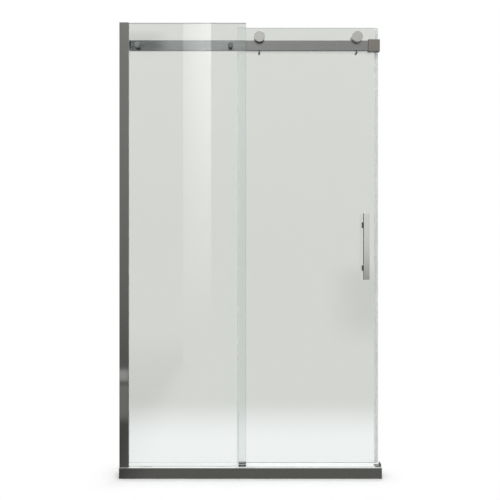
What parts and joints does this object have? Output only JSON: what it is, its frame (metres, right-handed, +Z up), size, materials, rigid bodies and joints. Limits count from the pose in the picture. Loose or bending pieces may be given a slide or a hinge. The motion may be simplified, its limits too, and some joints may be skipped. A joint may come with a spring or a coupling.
{
  "type": "sliding shower door",
  "caption": "Sliding shower door: a fixed glass panel in a wall jamb and a glass panel that rolls on grooved wheels along a header bar, with sill, guide, seals and pull handle.",
  "frame": {"origin": "centre of the sill's underside, which lies on the curb", "axes": "+X along the sill towards the wall that the door closes against, +Y into the shower, +Z up"},
  "size_m": [1.15, 0.096, 2],
  "materials": {
    "frame_metal": "satin gunmetal anodised aluminium",
    "sill_metal": "satin dark gunmetal anodised aluminium",
    "sill_plate": "bright polished aluminium",
    "plain_aluminium": "plain mill aluminium",
    "bar_metal": "satin grey anodised aluminium",
    "bracket_metal": "satin grey anodised aluminium",
    "standoff_metal": "satin steel",
    "fitting_metal": "light satin steel",
    "handle_metal": "light satin steel",
    "screw_steel": "bright zinc-plated or stainless steel",
    "clear_glass": "clear tempered glass, 8 mm, with polished edges",
    "clear_vinyl": "clear soft vinyl or nylon",
    "white_nylon": "natural nylon",
    "black_plastic": "black moulded plastic",
    "dark_rubber": "dark soft rubber"
  },
  "bodies": {
    "frame": {"sill_rail": "sill_metal", "sill_top_plate": "sill_plate", "sill_end_caps": "black_plastic", "threshold_strip": "clear_vinyl", "corner_dam": "dark_rubber", "wall_channel": "plain_aluminium", "jamb_profile": "frame_metal", "jamb_gaskets": "dark_rubber", "jamb_top_cap": "frame_metal", "jamb_clamp_screws": "screw_steel", "jamb_screw_caps": "black_plastic", "fixed_glass": "clear_glass", "glass_setting_blocks": "clear_vinyl", "header_bar": "bar_metal", "wall_plate_right": "screw_steel", "bracket_right": "bracket_metal", "bracket_right_set_screws": "screw_steel", "wall_plate_left": "screw_steel", "bracket_left": "bracket_metal", "bracket_left_set_screws": "screw_steel", "door_bumper": "dark_rubber", "standoff_caps": "standoff_metal", "standoff_washers": "clear_vinyl", "standoff_sleeves": "white_nylon", "standoff_spacers": "standoff_metal", "standoff_studs": "screw_steel", "standoff_inserts": "screw_steel", "guide_base": "black_plastic", "guide_liners": "white_nylon", "guide_screws": "screw_steel"},
    "door": {"sliding_glass": "clear_glass", "side_seal": "clear_vinyl", "bumper_seal": "clear_vinyl", "roller_caps": "fitting_metal", "roller_axles": "screw_steel", "roller_spacers": "screw_steel", "roller_glass_bushings": "white_nylon", "roller_washers": "clear_vinyl", "roller_rear_discs": "fitting_metal", "anti_jump_pins": "fitting_metal", "anti_jump_washers": "clear_vinyl", "anti_jump_nuts": "fitting_metal", "handle_grip": "handle_metal", "handle_posts": "handle_metal", "handle_gaskets": "clear_vinyl", "handle_sleeves": "white_nylon", "handle_back_plates": "handle_metal", "handle_bolts": "screw_steel"},
    "left_wheel": {"left_wheel_hub": "screw_steel", "left_wheel_flanges": "screw_steel", "left_wheel_tread": "white_nylon", "left_wheel_bearings": "screw_steel"},
    "right_wheel": {"right_wheel_hub": "screw_steel", "right_wheel_flanges": "screw_steel", "right_wheel_tread": "white_nylon", "right_wheel_bearings": "screw_steel"}
  },
  "joints": [
    {"name": "door_slide", "type": "slide", "parent": "frame", "child": "door", "axis": [-1, 0, 0], "range_m": [0, 0.49]},
    {"name": "left_wheel_spin", "type": "hinge", "parent": "door", "child": "left_wheel", "pos_m": [0.041, 0.005, 1.9453], "axis": [0, 1, 0], "continuous": true},
    {"name": "right_wheel_spin", "type": "hinge", "parent": "door", "child": "right_wheel", "pos_m": [0.474, 0.005, 1.9453], "axis": [0, 1, 0], "continuous": true}
  ],
  "couplings": [
    {"joint": "left_wheel_spin", "follows": "door_slide", "rad_per_m": -76.923},
    {"joint": "right_wheel_spin", "follows": "door_slide", "rad_per_m": -76.923}
  ]
}
